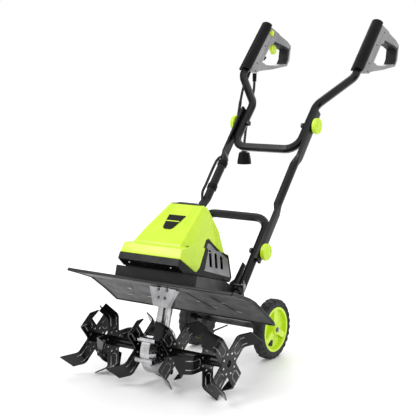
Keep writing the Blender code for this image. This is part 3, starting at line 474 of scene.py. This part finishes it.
STAR_CLOCKS = {"inner": 52.5, "middle": 91.0, "outer": 52.5}       # first blade, in degrees from the front
BLADES, RIVETS = 4, 8
RIVET_CIRCLE = 0.0235
RIVET = ((0.0027, 0), (0.0024, 0.0011), (0.0012, 0.0017))
BLADE_RIB = ((0.068, -0.010), (0.036, -0.010), (0.031, -0.005),
             (0.031, 0.005), (0.036, 0.010), (0.068, 0.010))       # out from the axis, and across the blade


def tine_detail():
    """Rivets round each hub plate and pressed ribs along the blades, the ribs in a lighter finish as a painted
    highlight.
    """
    rivets, ribs = bmesh.new(), bmesh.new()
    for _, name in SIDES:
        for place, first in STAR_CLOCKS.items():
            node = f"tine_star_{name}_{place}"
            star = surface_of(node)
            low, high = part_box(node)
            for number in range(RIVETS):
                spoke = spoke_at(math.radians(first + 22.5 + 360 / RIVETS * number), -1)
                for face in FACES:
                    start = TINE_AXIS + spoke * RIVET_CIRCLE
                    start.x = (high.x if face > 0 else low.x) + face * 0.01
                    hit, normal, _, _ = star.ray_cast(start, -X * face)
                    if hit and abs(normal.x) > 0.9:
                        lathe(rivets, hit - normal * SINK, normal, RIVET, 10)
            centre = Vector(((low.x + high.x) / 2, *TINE_AXIS.yz))
            for number in range(BLADES):
                spoke = spoke_at(math.radians(first + 360 / BLADES * number), -1)
                wide = X.cross(spoke)
                for face in FACES:
                    for one, two in zip(BLADE_RIB, BLADE_RIB[1:]):
                        line = [centre + spoke * r + wide * a for r, a in (one, two)]
                        across = spoke if one[0] == two[0] else wide
                        strip(ribs, star, line, 0.0030, across, -X * face, 0.0016, 6)
    piece("tine_rivets", rivets, "chrome_edge", "tines")
    # the ribs take the lighter finish, a painted highlight
    piece("tine_ribs", ribs, "tine_rib_painted_highlight", "tines")


# ---------------------------------------------------------------- wheels

LUGS, LUG_HALF = 26, 0.0042


def tyre_lugs(name, axle):
    """Blocks round the tread, on its two edges by turns."""
    low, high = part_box(f"tyre_{name}")
    half, radius = (high.x - low.x) / 2, (high.z - low.z) / 2
    section = ((radius - 0.0085, half + 0.0008), (radius - 0.0060, half + 0.0010),
               (radius + 0.0004, half - 0.0040), (radius + 0.0007, 0.0010),
               (radius - 0.0030, 0.0010), (radius - 0.0085, half - 0.0030))
    bm = bmesh.new()
    for number in range(LUGS):
        for face in FACES:
            spoke = spoke_at(math.tau * (number + (0.5 if face > 0 else 0)) / LUGS)
            around = X.cross(spoke)
            skin(bm, [[bm.verts.new(axle + spoke * r + X * x * face + around * w) for r, x in section]
                      for w in (LUG_HALF, -LUG_HALF)])
    piece(f"tyre_lugs_{name}", bm, "tyre_rubber", f"wheel_{name}")


def rim_cap(name, axle, out):
    """The hub's cap, and three pairs of studs round the rim."""
    bm = bmesh.new()
    lathe(bm, axle + out * 0.0140, out, ((0.0120, 0), (0.0120, 0.0016), (0.0108, 0.0024)), 28)
    for degrees in (90, 210, 330):
        for lean in (-13, 13):
            stud = axle + out * 0.0035 + spoke_at(math.radians(degrees + lean)) * 0.044
            lathe(bm, stud, out, ((0.0030, 0), (0.0028, 0.0022), (0.0012, 0.0026)), 12)
    piece(f"rim_cap_{name}", bm, "lime_plastic", f"wheel_{name}")


def wheel_back(name, axle, out):
    """The disc behind the rim."""
    bm = bmesh.new()
    lathe(bm, axle - out * 0.0125, -out, ((0.0550, 0), (0.0550, 0.0006), (0.0300, 0.0010),
                                          (0.0140, 0.0010), (0.0130, 0.0004)), 40)
    piece(f"wheel_back_{name}", bm, "black_plastic", f"wheel_{name}")


def rim_opening_painted_shade(name, axle, out):
    """A black block on the rim's face, low down at rest: painted shade in place of a dark opening."""
    spoke = spoke_at(math.radians(250))
    around = X.cross(spoke)
    middle = axle + spoke * 0.035 + out * 0.0040
    corners = ((-0.0075, -0.0065), (-0.0075, 0.0065), (0.0075, 0.0085), (0.0075, -0.0085))
    bm = bmesh.new()
    skin(bm, [[bm.verts.new(middle + spoke * r + around * a + out * x) for r, a in corners]
              for x in (0.0025, -0.003)])
    piece(f"rim_opening_painted_shade_{name}", bm, "black_plastic", f"wheel_{name}")


def wheel_detail():
    for side, name in SIDES:
        axle, out = Vector(JOINTS[f"wheel_{name}_spin"]["pos_m"]), X * side
        tyre_lugs(name, axle)
        rim_cap(name, axle, out)
        wheel_back(name, axle, out)
        rim_opening_painted_shade(name, axle, out)
        bm = bmesh.new()
        hex_bolt(bm, axle + out * 0.0162, out, 0.0050, 0.0040)
        piece(f"axle_nut_{name}", bm, "bright_steel", "carriage")


# ---------------------------------------------------------------- handle

KNOB_RIBS, KNOB_STUDS = 22, 6
KNOB_SINK = 0.0004


def knob_detail():
    """Ribs round each clamp knob, and a ring, a boss and studs on its face."""
    for place in ("lower", "upper"):
        for side, name in SIDES:
            low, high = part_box(f"{place}_knob_{name}")
            radius, out = (high.z - low.z) / 2, X * side
            face = Vector((high.x if side > 0 else low.x, *((low + high) / 2).yz))
            seat = face - out * KNOB_SINK
            bm = bmesh.new()
            for angle in clock(KNOB_RIBS):
                lathe(bm, face - out * 0.0088 + spoke_at(angle) * (radius - 0.0006), out,
                      ((0.0011, 0), (0.0013, 0.001), (0.0013, 0.0072), (0.0007, 0.0082)), 8)
            lathe(bm, seat, out, ((0.0172, 0), (0.0168, 0.0012), (0.0150, 0.0012), (0.0146, 0.00041)), 36)
            lathe(bm, seat, out, ((0.0072, 0), (0.0068, 0.0016), (0.0040, 0.0020)), 24)
            for angle in clock(KNOB_STUDS):
                lathe(bm, seat + spoke_at(angle) * 0.0110, out,
                      ((0.0018, 0), (0.0016, 0.0010), (0.0006, 0.0013)), 10)
            piece(f"{place}_knob_ribs_{name}", bm, "lime_plastic", f"knob_{place}_{name}")


def grip_detail():
    """Case screws and a seam on both faces of each grip, and the hook for the lead."""
    start = 0.05                                   # out from the grip's middle, where the rays begin
    screws = ((0.012, 0.060), (0.012, 0.128), (0.024, 0.186), (0.122, 0.226), (0.106, 0.128), (0.022, 0.040))
    for side, name in SIDES:
        body = surface_of(f"grip_body_{name}")
        bm = bmesh.new()
        for face in FACES:
            for n, u in screws:
                hit, normal, _, _ = body.ray_cast(grip(side, face * start, n, u), -X * face * side)
                if hit and abs(normal.x) > 0.8:
                    pan_screw(bm, hit - normal * SINK, normal, 0.0026, 0.0010)
        piece(f"grip_screws_{name}", bm, "black_plastic", "upper_handle_body")
        bm = bmesh.new()
        for face in FACES:
            seam = [grip(side, face * start, n, u)
                    for n, u in ((0.020, 0.046), (0.0205, 0.110), (0.0190, 0.190))]
            strip(bm, body, seam, 0.0012, GRIP_BACK, -X * face * side, 0.0005, 16)
        piece(f"grip_seam_{name}", bm, "black_rubber", "upper_handle_body")
    bm = bmesh.new()
    hook = [grip(-1, 0, n, u) for n, u in ((0.034, 0.100), (0.044, 0.104), (0.052, 0.114), (0.054, 0.124))]
    tube_along(bm, hook, 0.0034)
    piece("cord_hook", bm, "black_plastic", "upper_handle_body")


# ---------------------------------------------------------------- cables

LEAD_ROUTE = ((-0.1733, 0.2972, 0.6750), (-0.1725, 0.2922, 0.6500), (-0.1700, 0.2722, 0.6050),
              (-0.1640, 0.2412, 0.5560), (-0.1580, 0.2212, 0.5150), (-0.1550, 0.2148, 0.4934))
PLUG_TIP = 0.014                                   # from the plug's top to where its ribs are counted from
PLUG_RIBS = ((0.006, 0.0162), (0.012, 0.0175), (0.018, 0.0188), (0.024, 0.0198))    # height and radius
SLEEVE_RADIUS = 0.0043

# each sleeve's name, points, two bodies, and the numbers of the points where its bend starts and ends
SLEEVES = (
    ("upper_cable_sleeve",
     ((-0.1520, 0.1882, 0.6230), (-0.1400, 0.1592, 0.5880), (-0.1352, 0.1490, 0.5740),
      (-0.1348, 0.1417, 0.5615), (-0.1345, 0.1352, 0.5425)),
     "upper_handle_body", "middle_handle", 1, 3),
    ("lower_cable_sleeve",
     ((-0.1010, -0.0758, 0.3790), (-0.0800, -0.1036, 0.3521), (-0.0620, -0.1318, 0.3280)),
     "middle_handle", "root", 0, 2))


def catmull(points, steps):
    """A smooth line through points."""
    points = [Vector(p) for p in points]
    ends = [points[0] * 2 - points[1], *points, points[-1] * 2 - points[-2]]
    line = []
    for a, b, c, d in zip(ends, ends[1:], ends[2:], ends[3:]):
        for k in range(steps):
            t = k / steps
            line.append(0.5 * (b * 2 + (c - a) * t + (a * 2 - b * 5 + c * 4 - d) * t * t
                               + (b * 3 - a - c * 3 + d) * t ** 3))
    return [*line, points[-1]]


def power_lead():
    route = catmull(LEAD_ROUTE, 5)
    bm = bmesh.new()
    tube_along(bm, route, 0.0036, 12)
    lead = piece("power_lead_cable", bm, "black_rubber", "upper_handle_body", 60)
    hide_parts("power_lead")
    low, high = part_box("plug")
    middle = (low + high) / 2
    bm = bmesh.new()
    for height, radius in PLUG_RIBS:
        lathe(bm, Vector((middle.x, middle.y, high.z - PLUG_TIP - height)), Vector((0, 0, -1)),
              ((radius - 0.002, 0), (radius, 0.0006), (radius, 0.0018), (radius - 0.002, 0.0024)), 28)
    rings = piece("plug_ribs", bm, "black_plastic", "upper_handle_body")


def cable_sleeves():
    """Flexible sleeves that carry the motor cable past the two folds of the handle, built in their rest shape and
    riding no body.
    """
    for name, points, a, b, start, end in SLEEVES:
        bm = bmesh.new()
        tube_along(bm, catmull(points, 8), SLEEVE_RADIUS, 12)
        sleeve = piece(name, bm, "black_rubber", None, 60)
        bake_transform(sleeve)


hood_detail()
crest_and_gasket()
base_detail()
cable_sleeves()
gear_case_detail()
guard_detail()
tine_detail()
wheel_detail()
knob_detail()
grip_detail()
power_lead()
softened("motor_cover", voxel=0.0011, passes=14, keep=0.10)


# ---------------------------------------------------------------- studio

AIM = Vector((0, 0, 0.4))                          # the point that the lamps face
LAMPS = (("key", (-1.6, -2.2, 3.0), 42, 1.4), ("fill", (2.6, -1.4, 1.8), 8, 1.4),
         ("rim", (-1.2, 2.6, 2.2), 26, 1.2))       # name, place, power and size
CARD_RISE = Vector((0, 0, 2.6))
CARDS = (("card_right", (3.4, -2.4, 0), (0.3, 3.2, 0)), ("card_left", (-3.2, -0.6, 0), (0.6, 3.0, 0)),
         ("card_front", (0.1, -3.9, 0), (1.0, 0.2, 0)))            # name, foot, and run along the floor
CAMERA_PLACE = (1.3166, -2.1605, 0.7353)
CAMERA_DIP, CAMERA_TURN = 8.459, 33.884            # degrees below the horizon, and round from the front
CAMERA_LENS, CAMERA_SENSOR = 85.8, 36


def studio_floor():
    """A pale floor, just under the object."""
    pale, _, shader = shader_of("studio_floor")
    shader.inputs["Base Color"].default_value = (0.95, 0.95, 0.95, 1)
    shader.inputs["Emission Color"].default_value = (1, 1, 1, 1)
    shader.inputs["Emission Strength"].default_value = 0.06
    shader.inputs["Roughness"].default_value = 0.6
    bm = bmesh.new()
    bmesh.ops.create_grid(bm, x_segments=1, y_segments=1, size=12)
    floor = placed("studio_floor", mesh_from("studio_floor", bm, pale))
    floor.location.z = CAD_BOX[0][2] - 0.0005


def studio_cards():
    """Dark cards beside the set, seen only in reflections, which give the black and metal parts contrast."""
    dark, _, shader = shader_of("studio_card")
    shader.inputs["Base Color"].default_value = (0.01, 0.01, 0.01, 1)
    shader.inputs["Roughness"].default_value = 0.9
    for name, foot, run in CARDS:
        foot, run = Vector(foot), Vector(run)
        bm = bmesh.new()
        bm.faces.new([bm.verts.new(p) for p in (foot, foot + run, foot + run + CARD_RISE, foot + CARD_RISE)])
        card = placed(name, mesh_from(name, bm, dark))
        card.visible_camera = card.visible_diffuse = card.visible_shadow = False


def studio_light():
    """An even white surround and three soft lamps."""
    world = bpy.data.worlds.new("studio")
    world.use_nodes = True
    world.node_tree.nodes["Background"].inputs["Color"].default_value = (1, 1, 1, 1)
    world.node_tree.nodes["Background"].inputs["Strength"].default_value = 1.0
    bpy.context.scene.world = world
    for name, place, power, size in LAMPS:
        lamp = bpy.data.lights.new(name, "AREA")
        lamp.energy, lamp.size = power, size
        made = placed(name, lamp)
        made.location = place
        made.rotation_euler = (AIM - Vector(place)).to_track_quat("-Z", "Y").to_euler()


def studio_camera():
    eye = bpy.data.cameras.new("camera")
    eye.lens, eye.sensor_width = CAMERA_LENS, CAMERA_SENSOR
    camera = placed("camera", eye)
    camera.location = CAMERA_PLACE
    camera.rotation_euler = (math.radians(90 - CAMERA_DIP), 0, math.radians(CAMERA_TURN))
    bpy.context.scene.camera = camera
    bpy.context.scene.view_settings.view_transform = "Standard"


studio_floor()
studio_cards()
studio_light()
studio_camera()

bpy.context.view_layer.update()
